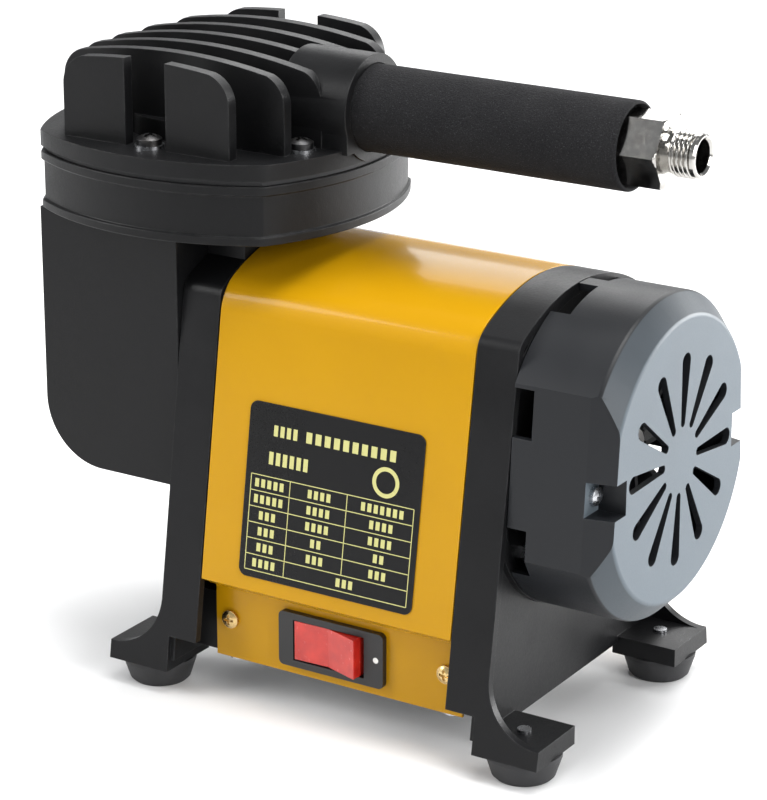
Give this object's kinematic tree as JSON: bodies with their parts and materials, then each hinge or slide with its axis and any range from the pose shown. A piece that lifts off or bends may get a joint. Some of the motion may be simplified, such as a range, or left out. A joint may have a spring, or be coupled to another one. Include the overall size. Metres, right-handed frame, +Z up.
{
  "type": "airbrush compressor",
  "caption": "Small oil-free compressor: covered motor, one-cylinder diaphragm pump with finned head, foam carrying handle ending in the threaded air outlet, rubber feet.",
  "frame": {"origin": "centre of the overall box in plan, on the surface the feet stand on", "axes": "+X along the motor shaft towards the fan and the air outlet; -Y is the side with the switch; +Z up"},
  "size_m": [0.2052, 0.105, 0.1879],
  "materials": {
    "casting": "satin black paint over a fine cast grain",
    "cover_paint": "glossy yellow-orange paint",
    "fan_cover_plastic": "satin blue-grey plastic",
    "plate_black": "black printed plate with pale rules",
    "switch_black": "black moulded plastic",
    "rocker_red": "red plastic",
    "brass_tab": "plain",
    "rubber_black": "matt moulded rubber",
    "zinc_yellow": "yellow zinc plating",
    "zinc_clear": "clear zinc plating",
    "steel_plain": "turned and ground steel",
    "steel_black": "black oxide",
    "lamination": "stacked electrical sheet",
    "copper": "varnished copper wire",
    "fan_plastic": "moulded plastic",
    "aluminium_cast": "die cast, plain",
    "pump_casting": "die cast, satin black",
    "sheet_zinc": "galvanised sheet",
    "foam_black": "closed-cell foam",
    "chrome_fitting": "bright nickel or chromium plating"
  },
  "bodies": {
    "housing": {"pump_frame": "casting", "fan_frame": "casting", "motor_cover": "cover_paint", "cover_screws": "zinc_yellow", "data_plate": "plate_black", "switch_housing": "switch_black", "switch_terminals": "brass_tab", "cord_gland": "switch_black", "base_plate": "sheet_zinc", "base_plate_screws": "zinc_clear", "foot_front_left": "rubber_black", "foot_front_right": "rubber_black", "foot_rear_left": "rubber_black", "foot_rear_right": "rubber_black", "foot_screws": "zinc_clear", "stator_core": "lamination", "stator_windings": "copper", "tie_bolts": "zinc_clear", "fan_end_bearing": "steel_plain", "pump_end_bearing": "steel_plain", "fan_cover": "fan_cover_plastic", "fan_cover_screws": "zinc_clear", "crankcase": "pump_casting", "crankcase_screws": "zinc_clear", "diaphragm": "rubber_black", "pump_ring": "pump_casting", "valve_plate": "aluminium_cast", "intake_reed": "steel_plain", "exhaust_reed": "steel_plain", "reed_rivets": "aluminium_cast", "valve_seal": "rubber_black", "cylinder_head": "pump_casting", "head_bolts": "steel_black", "head_washers": "zinc_clear", "intake_filter": "switch_black", "handle_tube": "steel_plain", "foam_grip": "foam_black", "outlet_fitting": "chrome_fitting"},
    "rotor": {"rotor_core": "lamination", "motor_shaft": "steel_plain", "bearing_inner_races": "steel_plain", "bearing_balls": "steel_plain", "cooling_fan": "fan_plastic", "fan_clip": "steel_plain", "eccentric": "steel_plain", "eccentric_grub_screw": "steel_plain"},
    "rod": {"connecting_rod": "aluminium_cast", "rod_bearing": "steel_plain", "diaphragm_lower_plate": "aluminium_cast", "diaphragm_upper_plate": "aluminium_cast", "diaphragm_screw": "zinc_clear"},
    "rocker": {"switch_rocker": "rocker_red"}
  },
  "joints": [
    {"name": "shaft_spin", "type": "hinge", "parent": "housing", "child": "rotor", "pos_m": [0.0116, 0, 0.0854], "axis": [1, 0, 0], "continuous": true, "deforming": ["diaphragm"]},
    {"name": "rod_turn", "type": "hinge", "parent": "rotor", "child": "rod", "pos_m": [-0.0522, 0, 0.0884], "axis": [1, 0, 0], "continuous": true},
    {"name": "switch_rock", "type": "hinge", "parent": "housing", "child": "rocker", "pos_m": [0.0099, -0.0393, 0.0232], "axis": [0, 0, 1], "range_deg": [0, 16]}
  ],
  "couplings": [
    {"joint": "rod_turn", "follows": "shaft_spin", "ratio": -1}
  ]
}
